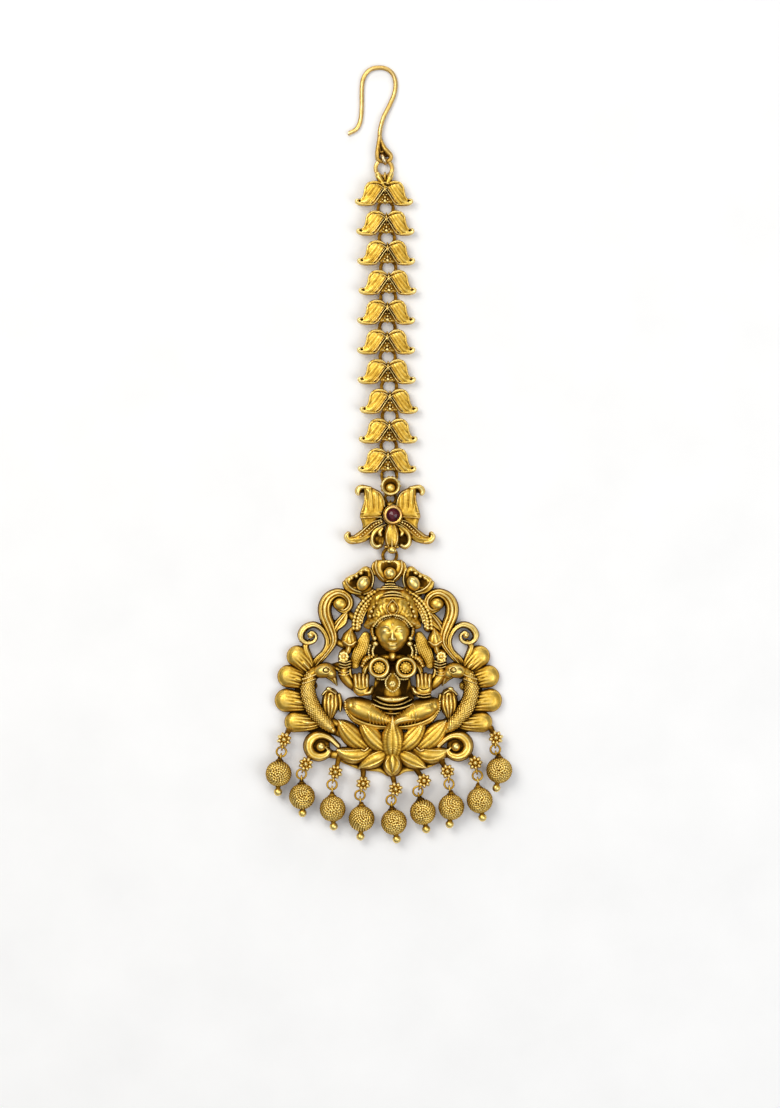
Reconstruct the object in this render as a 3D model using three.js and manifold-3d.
// Maang tikka: a hair hook, a chain of ten leaf links, a cup link, a lotus connector
// and a temple pendant (a seated goddess between two peacocks) with nine bead drops.
// Millimetres. It lies face up: +X right, +Y toward the hook, +Z up from the table.

import * as THREE from 'three';
import { mergeVertices } from 'three/addons/utils/BufferGeometryUtils.js';
import Module from 'manifold-3d';

const wasm = await Module();
wasm.setup();

// ---- driving dimensions ----

const HOOK_WIRE = 0.4;          // radius of the hook's wire
const SLIVER = 0.15;            // steps finer than this are smoothed out of joined solids
const RING_WIRE = 0.26;         // radius of the jump rings' wire
const RING_Z = 0.75;            // height of the jump rings' plane above the table
const EYE_HOLE = 0.42;          // radius of the hole in a soldered eye
const EYE_WIRE = 0.16;          // radius of a soldered eye's wire
const BODY_Z = 1.2;             // underside of the links, above their rings

const HOOK_RING = { x: -1.2, y: 51.4, z: 1.0, radius: 1.55, wire: 0.33 };
const HOOK_EYE = { x: -1.25, y: 53.05, z: 1.15, hole: 0.58, wire: 0.28 };

const LINK_COUNT = 10;
const LINK_PITCH = 5.335;
const LINK_TOP_Y = 45.5;        // leaf tips of the first link
const LINK_SWAY = [-1.0, -0.75, -0.55, -0.3, -0.55, -0.6, -0.45, -0.1, -0.2, -0.45];
const LINK_THICK = 1.3;
const LINK_RING_RADIUS = 1.42;
const LINK_RING_DROP = 1.3;     // ring centre below a link's leaf tips
const LINK_TOP_EYE = 2.62;      // a link's top eye above its leaf tips

const CUP = { x: 0, y: -5.7, radius: 1.7, floor: 1.2, rim: 3.0 };
const CUP_RING = { x: 0, y: -7.9, z: RING_Z, radius: 1.0, wire: 0.24 };

const STONE = { x: 0.45, y: -10.9, radius: 1.2, seat: 3.05, top: 3.9 };
const PENDANT_RING = { x: -0.15, y: -18.2, z: RING_Z, radius: 1.3, wire: RING_WIRE };

const SIDE_AXIS = -0.4;         // mirror line of the pendant's scrolls and feathers
const FIGURE_AXIS = 0.35;       // middle of the goddess and her lotus
const SIDES = [-1, 1];

const DROP_RING = { radius: 0.85, wire: 0.2, z: 1.9 };
const DROP_EYE = { hole: 0.36, wire: 0.17 };
const BEAD_RADIUS = 2.38;
const ROSETTE_RADIUS = 1.3;
const DROPS = [
  { edge: [-18.2, -49.4], rosette: [-19.1, -51.2], ring: [-19.6, -53.4], bead: [-20.1, -57.3], tip: [-20.2, -60.6] },
  { edge: [-14.1, -53.6], rosette: [-15.2, -55.6], ring: [-16.0, -57.4], bead: [-15.9, -61.4], tip: [-15.8, -64.4] },
  { edge: [-9.0, -53.4], rosette: [-9.9, -57.0], ring: [-10.5, -59.3], bead: [-10.4, -63.6], tip: [-10.2, -66.8] },
  { edge: [-4.9, -56.2], rosette: [-4.9, -59.1], ring: [-5.5, -61.2], bead: [-5.2, -65.4], tip: [-5.4, -68.6] },
  { edge: [0.3, -57.2], rosette: [0.9, -60.1], ring: [0.1, -62.1], bead: [0.6, -66.0], tip: [1.1, -69.1] },
  { edge: [4.5, -56.4], rosette: [6.0, -58.6], ring: [4.9, -60.5], bead: [5.8, -64.2], tip: [6.4, -67.3] },
  { edge: [9.0, -54.9], rosette: [10.2, -56.9], ring: [10.5, -59.2], bead: [10.9, -63.3], tip: [10.6, -66.4] },
  { edge: [13.4, -52.6], rosette: [15.2, -55.4], ring: [15.6, -57.7], bead: [16.0, -62.1], tip: [16.5, -65.2] },
  { edge: [18.0, -49.2], rosette: [18.9, -50.9], ring: [18.8, -53.0], bead: [19.5, -56.7], tip: [19.0, -59.9] },
];

// ---- materials ----

function antiqueGold() {
  return new THREE.MeshStandardMaterial({ color: 0xc8993c, roughness: 0.42, metalness: 1.0 });
}

function redStone() {
  return new THREE.MeshStandardMaterial({ color: 0x3a0c18, roughness: 0.12, metalness: 0.0 });
}

// ---- solids ----

function solidOf(geometry) {
  const bare = geometry.index ? geometry.toNonIndexed() : geometry.clone();
  bare.deleteAttribute('normal');
  bare.deleteAttribute('uv');
  const merged = mergeVertices(bare, 1e-4);
  const corners = merged.index.array;
  const kept = [];
  for (let i = 0; i < corners.length; i += 3) {
    const [a, b, c] = [corners[i], corners[i + 1], corners[i + 2]];
    if (a !== b && b !== c && c !== a) kept.push(a, b, c);
  }
  const mesh = new wasm.Mesh({
    numProp: 3,
    vertProperties: merged.attributes.position.array,
    triVerts: Uint32Array.from(kept),
  });
  return new wasm.Manifold(mesh);
}

function geometryOf(solid) {
  const mesh = solid.getMesh();
  const geometry = new THREE.BufferGeometry();
  geometry.setAttribute('position', new THREE.BufferAttribute(mesh.vertProperties, 3));
  geometry.setIndex(new THREE.BufferAttribute(mesh.triVerts, 1));
  return geometry;
}

function join(solids) {
  return solids.reduce((whole, piece) => whole.add(piece));
}

// drops the slivers that many joins leave
function plain(solid) {
  const pieces = solid.asOriginal().simplify(SLIVER).decompose();
  return pieces.reduce((largest, piece) => (piece.volume() > largest.volume() ? piece : largest));
}

// a ball, squashed along Z by flat, at its centre
function ball(x, y, z, radius, flat = 1, around = 8, down = 5) {
  const geometry = new THREE.SphereGeometry(radius, around, down);
  geometry.rotateX(Math.PI / 2);
  geometry.scale(1, 1, flat);
  geometry.translate(x, y, z);
  return solidOf(geometry);
}

function circleShape(radius, sides) {
  const shape = new THREE.Shape();
  for (let i = 0; i < sides; i += 1) {
    const angle = (2 * Math.PI * i) / sides;
    const x = radius * Math.cos(angle);
    const y = radius * Math.sin(angle);
    if (i === 0) shape.moveTo(x, y);
    else shape.lineTo(x, y);
  }
  shape.closePath();
  return shape;
}

// round wire along a smooth line of [x, y, z] points
function wire(points, radius, steps, sides = 6) {
  const path = new THREE.CatmullRomCurve3(points.map((p) => new THREE.Vector3(...p)), false, 'centripetal');
  const options = { steps, bevelEnabled: false, extrudePath: path };
  return solidOf(new THREE.ExtrudeGeometry(circleShape(radius, sides), options));
}

// the same with its height scaled: a flat scroll whose top stands at top
function scroll(points, width, top, steps = 8, sides = 6) {
  const flat = points.map(([x, y]) => [x, y, 0]);
  return wire(flat, width / 2, steps, sides).scale([1, 1, (2 * top) / width]);
}

function ringGeometry({ x, y, z, radius, wire: thick }, around = 12, section = 5) {
  const geometry = new THREE.TorusGeometry(radius, thick, section, around);
  geometry.translate(x, y, z);
  return geometry;
}

// a soldered eye that stands on edge; turn 0 lets a wire pass along X
function eye({ x, y, z, hole, wire: thick, turn = 0 }) {
  const geometry = new THREE.TorusGeometry(hole + thick, thick, 5, 8);
  geometry.rotateY(Math.PI / 2);
  geometry.rotateZ(turn);
  geometry.translate(x, y, z);
  return solidOf(geometry);
}

function linkEye(x, y) {
  return eye({ x, y, z: RING_Z, hole: EYE_HOLE, wire: EYE_WIRE });
}

// a slab from z = from to z = to, its upper edge rounded off by round
function slab(shape, from, to, round = 0) {
  const options = {
    depth: to - from - round,
    bevelEnabled: round > 0,
    bevelThickness: round,
    bevelSize: round,
    bevelOffset: -round,
    bevelSegments: 1,
  };
  const geometry = new THREE.ExtrudeGeometry(shape, options);
  geometry.translate(0, 0, from);
  return solidOf(geometry).trimByPlane([0, 0, 1], from);
}

// an oval slab between two points
function petal({ from, to, width, base = 0, top, sides = 8 }) {
  const [dx, dy] = [to[0] - from[0], to[1] - from[1]];
  const shape = new THREE.Shape();
  const length = Math.hypot(dx, dy);
  for (let i = 0; i < sides; i += 1) {
    const angle = (2 * Math.PI * i) / sides;
    const x = (length / 2) * Math.cos(angle);
    const y = (width / 2) * Math.sin(angle);
    if (i === 0) shape.moveTo(x, y);
    else shape.lineTo(x, y);
  }
  shape.closePath();
  const turn = (Math.atan2(dy, dx) * 180) / Math.PI;
  const middle = [(from[0] + to[0]) / 2, (from[1] + to[1]) / 2, 0];
  return slab(shape, base, top).rotate([0, 0, turn]).translate(middle);
}

const group = new THREE.Group();

function add(name, geometry, material) {
  const mesh = new THREE.Mesh(geometry, material);
  mesh.name = name;
  group.add(mesh);
  return mesh;
}

function addSolid(name, solid, material) {
  return add(name, geometryOf(solid), material);
}

// ---- hook ----

const HOOK_LINE = [
  [-7.6, 57.7, 0.4], [-6.1, 58.6, 0.4], [-5.4, 60.2, 0.4], [-5.2, 62.5, 0.4], [-5.15, 66.1, 0.4],
  [-4.75, 68.0, 0.4], [-3.5, 69.3, 0.4], [-1.4, 69.55, 0.4], [0.2, 68.7, 0.4], [0.87, 67.0, 0.4],
  [0.7, 65.0, 0.4], [-0.15, 62.9, 0.5], [-1.35, 60.4, 0.7], [-1.95, 57.8, 0.9], [-1.8, 55.9, 1.1],
  [-1.35, 54.1, 1.15],
];

function hook() {
  const line = wire(HOOK_LINE, HOOK_WIRE, 34, 6);
  const tip = ball(...HOOK_LINE[0], HOOK_WIRE * 0.98, 1, 8, 4);
  const loop = eye({ ...HOOK_EYE, turn: 0.35 });
  const wrap = petal({ from: [-1.75, 56.0], to: [-1.4, 53.6], width: 1.6, base: 0.55, top: 1.85, sides: 8 });
  return plain(join([line, tip, loop, wrap]));
}

// ---- chain links ----

// right half of a link seen from above, from its notch to the middle of its foot;
// the leaf tip row is y = 0
const LINK_OUTLINE = [
  [0, 2.95], [1.1, 3.45], [2.2, 3.65], [3.3, 3.15], [3.7, 1.9], [3.95, 0.65], [4.5, 0.25], [5.15, 0.5],
  [5.25, -0.2], [4.9, -0.65], [4.2, -0.9], [2.6, -0.9], [1.6, -0.45], [0, -0.5],
];

function linkBody() {
  const right = LINK_OUTLINE;
  const left = LINK_OUTLINE.slice(1, -1).reverse().map(([x, y]) => [-x, y]);
  const shape = new THREE.Shape([...right, ...left].map((p) => new THREE.Vector2(...p)));
  return slab(shape, BODY_Z, BODY_Z + LINK_THICK, 0.25);
}

function linkPlace(number) {
  return { x: LINK_SWAY[number], y: LINK_TOP_Y - LINK_PITCH * number };
}

function link(number) {
  const { x, y } = linkPlace(number);
  const body = linkBody().translate([x, y, 0]);
  const foot = linkEye(x, y + LINK_RING_RADIUS - LINK_RING_DROP);
  const head = number === 0 ? firstLinkLoop(x, y) : linkEye(x, y + LINK_TOP_EYE);
  return plain(join([body, foot, head]));
}

// the first link reaches up to the hook's ring with a longer loop
function firstLinkLoop(x, y) {
  const ringFoot = HOOK_RING.y - HOOK_RING.radius;
  const loop = eye({ x, y: ringFoot, z: HOOK_RING.z, hole: 0.55, wire: 0.2 });
  const neck = petal({ from: [x, y + 1.6], to: [x, ringFoot - 0.62], width: 1.5, base: 0.6, top: 1.9, sides: 8 });
  return join([neck, loop]);
}

function linkRing(number) {
  const above = linkPlace(number);
  const below = number + 1 < LINK_COUNT ? linkPlace(number + 1) : CUP;
  const x = (above.x + below.x) / 2;
  const y = above.y - LINK_RING_DROP;
  return ringGeometry({ x, y, z: RING_Z, radius: LINK_RING_RADIUS, wire: RING_WIRE });
}

function addChain() {
  for (let number = 0; number < LINK_COUNT; number += 1) {
    const label = String(number + 1).padStart(2, '0');
    addSolid(`link_${label}`, link(number), antiqueGold());
    add(`link_ring_${label}`, linkRing(number), antiqueGold());
  }
}

// ---- cup link ----

function cupLink() {
  const { x, y, radius, floor, rim } = CUP;
  const profile = [
    [0, floor], [radius * 0.8, floor], [radius, floor + 0.5], [radius, rim], [radius - 0.35, rim],
    [radius - 0.4, floor + 0.7], [0, floor + 0.7],
  ].map((p) => new THREE.Vector2(...p));
  const wall = new THREE.LatheGeometry(profile, 16);
  wall.rotateX(Math.PI / 2);
  wall.translate(x, y, 0);
  const grain = ball(x, y - 0.35, floor + 1.1, 0.9);
  const ringAbove = LINK_TOP_Y - LINK_PITCH * (LINK_COUNT - 1) - LINK_RING_DROP - LINK_RING_RADIUS;
  const upper = linkEye(x - 0.2, ringAbove);
  const lower = linkEye(x, CUP_RING.y + CUP_RING.radius);
  return plain(join([solidOf(wall), grain, upper, lower]));
}

// ---- lotus connector ----

// right half; x is measured from the stone's centre line
const CONNECTOR_PETALS = [
  { from: [0.9, -9.9], to: [4.3, -6.3], width: 2.6, top: 3.0 },
  { from: [2.2, -11.2], to: [4.7, -7.6], width: 2.4, top: 2.8 },
  { from: [4.1, -7.4], to: [5.4, -6.0], width: 1.1, top: 2.8 },
  { from: [0.8, -11.0], to: [5.2, -11.0], width: 2.4, top: 2.9 },
  { from: [3.2, -12.0], to: [5.0, -12.0], width: 2.0, top: 2.6 },
  { from: [0.6, -12.6], to: [4.6, -13.4], width: 2.4, top: 2.7 },
  { from: [2.6, -13.3], to: [6.6, -15.8], width: 2.2, top: 2.7 },
  { from: [5.6, -16.2], to: [7.7, -14.3], width: 1.5, top: 2.5 },
];

const CONNECTOR_AXIS = 0.05;

function connector() {
  const solids = [];
  for (const side of SIDES) {
    for (const row of CONNECTOR_PETALS) {
      const [from, to] = [row.from, row.to].map(([x, y]) => [CONNECTOR_AXIS + side * x, y]);
      solids.push(petal({ ...row, from, to, base: BODY_Z }));
    }
    const curl = { x: CONNECTOR_AXIS + side * 2.35, y: -15.1, z: 1.9, radius: 1.2, wire: 0.6 };
    solids.push(solidOf(ringGeometry(curl, 12, 6)));
  }
  solids.push(petal({ from: [0.25, -12.0], to: [0.25, -16.8], width: 2.6, base: BODY_Z, top: 3.2 }));
  solids.push(ball(0.25, -17.3, 1.9, 0.78));
  solids.push(bezel());
  solids.push(linkEye(CUP_RING.x, CUP_RING.y - CUP_RING.radius));
  solids.push(linkEye(PENDANT_RING.x, PENDANT_RING.y + PENDANT_RING.radius));
  return plain(join(solids));
}

function bezel() {
  const { x, y, radius, seat } = STONE;
  const profile = [
    [0, BODY_Z], [radius + 0.45, BODY_Z], [radius + 0.45, seat], [radius + 0.3, seat + 0.3],
    [radius + 0.1, seat + 0.3], [radius + 0.1, seat - 0.3], [0, seat - 0.3],
  ].map((p) => new THREE.Vector2(...p));
  const cup = new THREE.LatheGeometry(profile, 20);
  cup.rotateX(Math.PI / 2);
  cup.translate(x, y, 0);
  return solidOf(cup);
}

function stone() {
  const { x, y, radius, seat, top } = STONE;
  const profile = [
    [0, seat - 0.05], [radius * 0.85, seat - 0.05], [radius, seat + 0.2], [radius * 0.75, top - 0.2],
    [radius * 0.4, top - 0.02], [0, top],
  ].map((p) => new THREE.Vector2(...p));
  const gem = new THREE.LatheGeometry(profile, 16);
  gem.rotateX(Math.PI / 2);
  gem.translate(x, y, 0);
  return gem;
}

// ---- pendant ----

// Rows give the right side; x is the distance from the axis that the part mirrors about.

const CUP_PETALS = [
  { from: [0.2, -22.9], to: [2.0, -19.2], width: 2.3, base: 1.5, top: 3.6 },
  { from: [3.4, -24.4], to: [6.9, -20.9], width: 3.6, base: 0, top: 3.4 },
  { from: [5.4, -24.6], to: [7.8, -22.4], width: 2.4, base: 0, top: 3.2 },
  { from: [-0.4, -23.4], to: [4.6, -24.8], width: 1.6, base: 0, top: 2.6 },
];

const SCROLLS = [
  { line: [[8.2, -24.9], [9.6, -25.0], [11.0, -26.3], [11.3, -29.0], [10.4, -31.8]], width: 2.2, top: 2.8 },
  { line: [[10.5, -31.6], [10.2, -33.6], [11.1, -35.6], [12.4, -37.3], [13.4, -38.6]], width: 2.1, top: 2.6 },
  { line: [[13.4, -30.6], [12.0, -31.3], [11.0, -33.0], [11.4, -35.4], [13.4, -37.4]], width: 1.1, top: 2.3 },
  { line: [[5.3, -23.8], [6.5, -25.0], [7.6, -27.6], [8.0, -29.6]], width: 2.4, top: 2.4 },
  { line: [[10.6, -31.6], [9.2, -31.2], [7.9, -29.2]], width: 2.0, top: 2.2 },
  { line: [[11.8, -39.0], [13.6, -39.1], [14.7, -41.2], [14.4, -43.9], [12.9, -46.7], [10.4, -49.2]],
    width: 2.5, top: 3.6 },
  { line: [[11.7, -50.0], [10.2, -51.0], [8.4, -52.6]], width: 1.3, top: 2.4 },
  { line: [[9.7, -33.8], [8.5, -36.3], [8.6, -39.6], [7.4, -41.8]], width: 3.2, top: 3.2 },
];

const VOLUTES = [
  { x: 8.4, y: -26.9, radius: 1.25, width: 1.5, top: 2.7 },
  { x: 13.8, y: -32.5, radius: 1.5, width: 1.3, top: 2.6 },
  { x: 12.3, y: -52.4, radius: 1.75, width: 1.9, top: 2.6 },
];

const FEATHERS = [
  { from: [13.2, -40.4], to: [18.5, -34.5], width: 4.6, top: 2.3 },
  { from: [14.0, -42.2], to: [20.0, -39.2], width: 4.6, top: 2.3 },
  { from: [14.0, -45.0], to: [20.3, -44.2], width: 4.4, top: 2.3 },
  { from: [12.4, -47.0], to: [19.0, -48.9], width: 4.2, top: 2.3 },
  { from: [13.6, -50.6], to: [17.4, -49.6], width: 2.6, top: 2.0 },
];

const PEACOCK_PARTS = [
  { from: [13.4, -38.0], to: [10.6, -39.6], width: 2.8, top: 4.2 },
  { from: [11.0, -39.0], to: [9.1, -41.9], width: 1.1, top: 3.2 },
  { from: [10.5, -47.8], to: [10.4, -42.0], width: 2.6, top: 3.0 },
  { from: [7.4, -47.6], to: [9.6, -45.4], width: 1.5, top: 2.2 },
  { from: [9.6, -38.6], to: [7.2, -42.6], width: 2.4, top: 3.4 },
  { from: [8.4, -40.0], to: [12.4, -41.2], width: 1.4, top: 1.8 },
];

// the goddess's own half: cheek of her halo, hands, panels, thigh and lotus petals
const FIGURE_PARTS = [
  { from: [3.3, -29.0], to: [6.0, -37.6], width: 3.2, top: 3.2 },
  { from: [6.6, -36.6], to: [8.2, -30.2], width: 2.6, top: 3.4 },
  { from: [1.0, -35.6], to: [5.6, -36.8], width: 3.0, top: 3.4 },
  { from: [3.0, -38.8], to: [6.9, -43.6], width: 3.2, top: 4.0 },
  { from: [-0.5, -47.3], to: [8.6, -44.2], width: 3.2, top: 3.8 },
  { from: [0.8, -53.4], to: [6.1, -48.0], width: 2.9, top: 2.9 },
  { from: [3.6, -53.4], to: [9.9, -47.6], width: 3.2, top: 2.7 },
  { from: [1.0, -53.6], to: [5.6, -56.4], width: 3.0, top: 2.6 },
  { from: [3.6, -53.4], to: [9.8, -54.0], width: 3.2, top: 2.5 },
];

const BACK_PLATE = [
  { from: [0, -24.0], to: [0, -50.0], width: 13.0, top: 1.6 },
  { from: [0, -44.0], to: [0, -57.9], width: 15.0, top: 1.2 },
];

function mirroredPetals(rows, axis) {
  const solids = [];
  for (const side of SIDES) {
    for (const row of rows) {
      const [from, to] = [row.from, row.to].map(([x, y]) => [axis + side * x, y]);
      solids.push(petal({ ...row, from, to }));
    }
  }
  return solids;
}

function mirroredScrolls() {
  const solids = [];
  for (const side of SIDES) {
    for (const { line, width, top } of SCROLLS) {
      const points = line.map(([x, y]) => [SIDE_AXIS + side * x, y]);
      solids.push(scroll(points, width, top));
    }
    for (const { x, y, radius, width, top } of VOLUTES) {
      const ring = { x: SIDE_AXIS + side * x, y, z: 0, radius, wire: width / 2 };
      solids.push(solidOf(ringGeometry(ring, 12, 6)).scale([1, 1, (2 * top) / width]));
      solids.push(ball(SIDE_AXIS + side * x, y, 0, radius, top / radius));
    }
  }
  return solids;
}

function goddess() {
  const x = FIGURE_AXIS;
  const crown = petal({ from: [x, -23.2], to: [x, -31.4], width: 8.0, top: 4.6, sides: 16 });
  const head = ball(x, -31.9, 3.2, 3.0, 0.9, 10, 6);
  const halo = solidOf(ringGeometry({ x, y: -31.2, z: 0, radius: 6.3, wire: 0.55 }, 20, 6)).scale([1, 1, 4]);
  const neck = petal({ from: [x, -33.6], to: [x, -38.4], width: 3.2, top: 4.2 });
  const torso = petal({ from: [x, -36.4], to: [x, -46.6], width: 7.4, top: 4.2, sides: 16 });
  const drop = petal({ from: [x, -52.6], to: [x, -57.4], width: 3.9, top: 3.0 });
  const middle = petal({ from: [x, -46.4], to: [x, -54.0], width: 3.6, top: 3.4 });
  const medallions = SIDES.map((side) => ball(x + side * 2.4, -38.3, 3.6, 1.95, 0.6));
  return [crown, head, halo, neck, torso, drop, middle, ...medallions];
}

function centreCup() {
  const grain = ball(-0.1, -21.4, 3.2, 1.1);
  const finial = petal({ from: [-0.1, -21.6], to: [-0.1, -25.4], width: 2.4, top: 3.2 });
  const eyeAt = { x: PENDANT_RING.x, y: PENDANT_RING.y - PENDANT_RING.radius };
  const floor = petal({ from: [-0.3, -18.95], to: [-0.3, -23.4], width: 5.2, base: 1.35, top: 2.4 });
  return [grain, finial, floor, linkEye(eyeAt.x, eyeAt.y)];
}

function sideCupBeads() {
  return SIDES.map((side) => ball(SIDE_AXIS + 0.2 + side * 4.8, -23.2, 2.6, 1.15));
}

// the tops of the drop's rosette and its eye, soldered to the pendant's edge
function rosette({ edge, rosette: centre, ring }) {
  const [x, y] = centre;
  const flower = slab(flowerShape(ROSETTE_RADIUS, 8), 2.25, 3.0, 0.2).translate([x, y, 0]);
  const solids = [ball(x, y, 2.95, 0.5, 1, 6, 4), flower];
  solids.push(petal({ from: edge, to: centre, width: 1.3, base: 1.0, top: 2.5 }));
  solids.push(dropEye(ring, centre));
  return join(solids);
}

function flowerShape(radius, petals) {
  const points = [];
  for (let i = 0; i < petals * 2; i += 1) {
    const angle = (Math.PI * i) / petals;
    const reach = i % 2 ? radius * 0.75 : radius;
    points.push(new THREE.Vector2(reach * Math.cos(angle), reach * Math.sin(angle)));
  }
  return new THREE.Shape(points);
}

function dropEye(ring, toward) {
  const turn = Math.atan2(toward[1] - ring[1], toward[0] - ring[0]) - Math.PI / 2;
  const x = ring[0] - DROP_RING.radius * Math.sin(turn);
  const y = ring[1] + DROP_RING.radius * Math.cos(turn);
  return eye({ x, y, z: DROP_RING.z, ...DROP_EYE, turn });
}

function pendant() {
  const solids = [
    ...mirroredPetals(CUP_PETALS, -0.35),
    ...mirroredScrolls(),
    ...mirroredPetals(FEATHERS, SIDE_AXIS),
    ...mirroredPetals(PEACOCK_PARTS, -0.1),
    ...mirroredPetals(FIGURE_PARTS, FIGURE_AXIS),
    ...mirroredPetals(BACK_PLATE, -0.1),
    ...goddess(),
    ...centreCup(),
    ...sideCupBeads(),
  ];
  const body = join(solids).trimByPlane([0, 0, 1], 0);
  return plain(join([body, ...DROPS.map(rosette)]));
}

// ---- bead drops ----

// a bead that lies on the table, its cap and eye toward the ring, a grain at its tip
function dropBead({ ring, bead, tip }) {
  const body = ball(bead[0], bead[1], BEAD_RADIUS, BEAD_RADIUS, 1, 12, 8);
  const grain = ball(tip[0], tip[1], 2.0, 0.68, 1, 6, 4);
  const toRing = new THREE.Vector2(ring[0] - bead[0], ring[1] - bead[1]).normalize();
  const eyeGap = DROP_RING.radius + DROP_EYE.hole;
  const cap = petal({
    from: [bead[0] + toRing.x * 1.2, bead[1] + toRing.y * 1.2],
    to: [ring[0] - toRing.x * (eyeGap + 0.08), ring[1] - toRing.y * (eyeGap + 0.08)],
    width: 1.5,
    base: DROP_RING.z - 0.5,
    top: DROP_RING.z + 0.5,
    sides: 8,
  });
  const stem = petal({ from: bead, to: tip, width: 0.9, base: 1.6, top: 2.4, sides: 8 });
  return plain(join([body, grain, stem, cap, dropEye(ring, bead)]));
}

function addDrops() {
  DROPS.forEach((drop, index) => {
    const number = index + 1;
    const [x, y] = drop.ring;
    const ring = ringGeometry({ x, y, ...DROP_RING });
    add(`drop_ring_${number}`, ring, antiqueGold());
    addSolid(`bead_${number}`, dropBead(drop), antiqueGold());
  });
}

// ---- assembly ----

addSolid('hook', hook(), antiqueGold());
add('hook_ring', ringGeometry(HOOK_RING), antiqueGold());
addChain();
addSolid('cup_link', cupLink(), antiqueGold());
add('cup_ring', ringGeometry(CUP_RING), antiqueGold());
addSolid('lotus_connector', connector(), antiqueGold());
add('stone', stone(), redStone());
add('pendant_ring', ringGeometry(PENDANT_RING), antiqueGold());
addSolid('pendant', pendant(), antiqueGold());
addDrops();

export default group;
